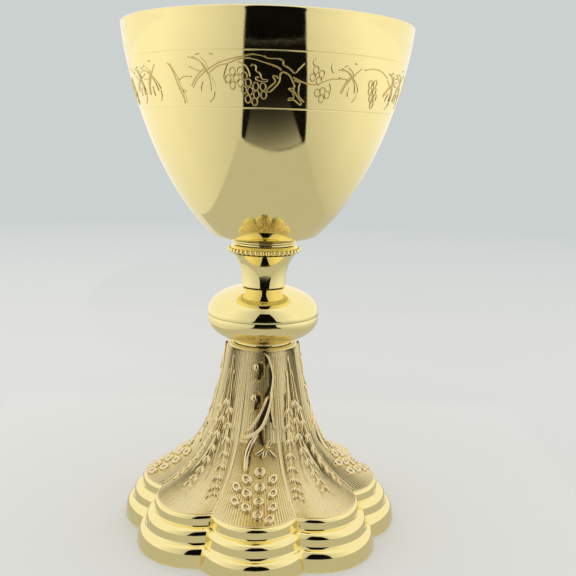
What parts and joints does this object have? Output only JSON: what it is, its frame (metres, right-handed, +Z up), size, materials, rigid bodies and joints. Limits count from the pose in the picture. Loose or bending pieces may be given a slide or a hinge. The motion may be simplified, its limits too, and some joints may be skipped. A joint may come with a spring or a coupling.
{
  "type": "communion chalice",
  "caption": "Gilt communion chalice: a deep egg-shaped cup with a vine frieze that unscrews from a round knob and fluted relief stem on a lobed, stepped foot.",
  "frame": {"origin": "on the chalice's axis, in the plane the foot stands on", "axes": "+Z up along the axis, out of the cup's mouth; one lobe of the foot faces -Y, and lobes repeat every 45 degrees"},
  "size_m": [0.1156, 0.1156, 0.203],
  "materials": {
    "cup": "gilt, mirror polished outside and inside, with an engraved vine frieze below the lip",
    "cup_boss": "gilt turned brass, soldered under the cup, threaded inside",
    "cup_seat_ring": "gilt thin ring, polished edge",
    "beaded_collar": "gilt, polished, beaded lower edge",
    "neck": "gilt, mirror polished",
    "neck_bush": "plain turned brass, not gilt",
    "knob_upper": "gilt, mirror polished",
    "knob_lower": "gilt, mirror polished",
    "knob_tube": "plain brass tube, not gilt",
    "foot_shell": "gilt, matt hatched relief panels on the stem and polished steps on the foot",
    "stem_cap": "plain brass disc soldered in the stem's mouth",
    "washer": "zinced steel",
    "hex_nut": "zinced steel",
    "tie_rod": "zinced steel, threaded"
  },
  "bodies": {
    "stand": {"foot_shell": "foot_shell", "stem_cap": "stem_cap", "washer": "washer", "hex_nut": "hex_nut", "tie_rod": "tie_rod", "knob_lower": "knob_lower", "knob_upper": "knob_upper", "knob_tube": "knob_tube", "neck": "neck", "neck_bush": "neck_bush", "beaded_collar": "beaded_collar"},
    "seat": {"cup_seat_ring": "cup_seat_ring"},
    "cup": {"cup": "cup", "cup_boss": "cup_boss"}
  },
  "joints": [
    {"name": "cup_turn", "type": "hinge", "parent": "stand", "child": "seat", "pos_m": [0, 0, 0.119], "axis": [0, 0, 1], "range_deg": [0, 2880]},
    {"name": "cup_rise", "type": "slide", "parent": "seat", "child": "cup", "axis": [0, 0, 1], "range_m": [0, 0.01]}
  ],
  "couplings": [
    {"joint": "cup_rise", "follows": "cup_turn", "m_per_rad": 0.00019894}
  ]
}
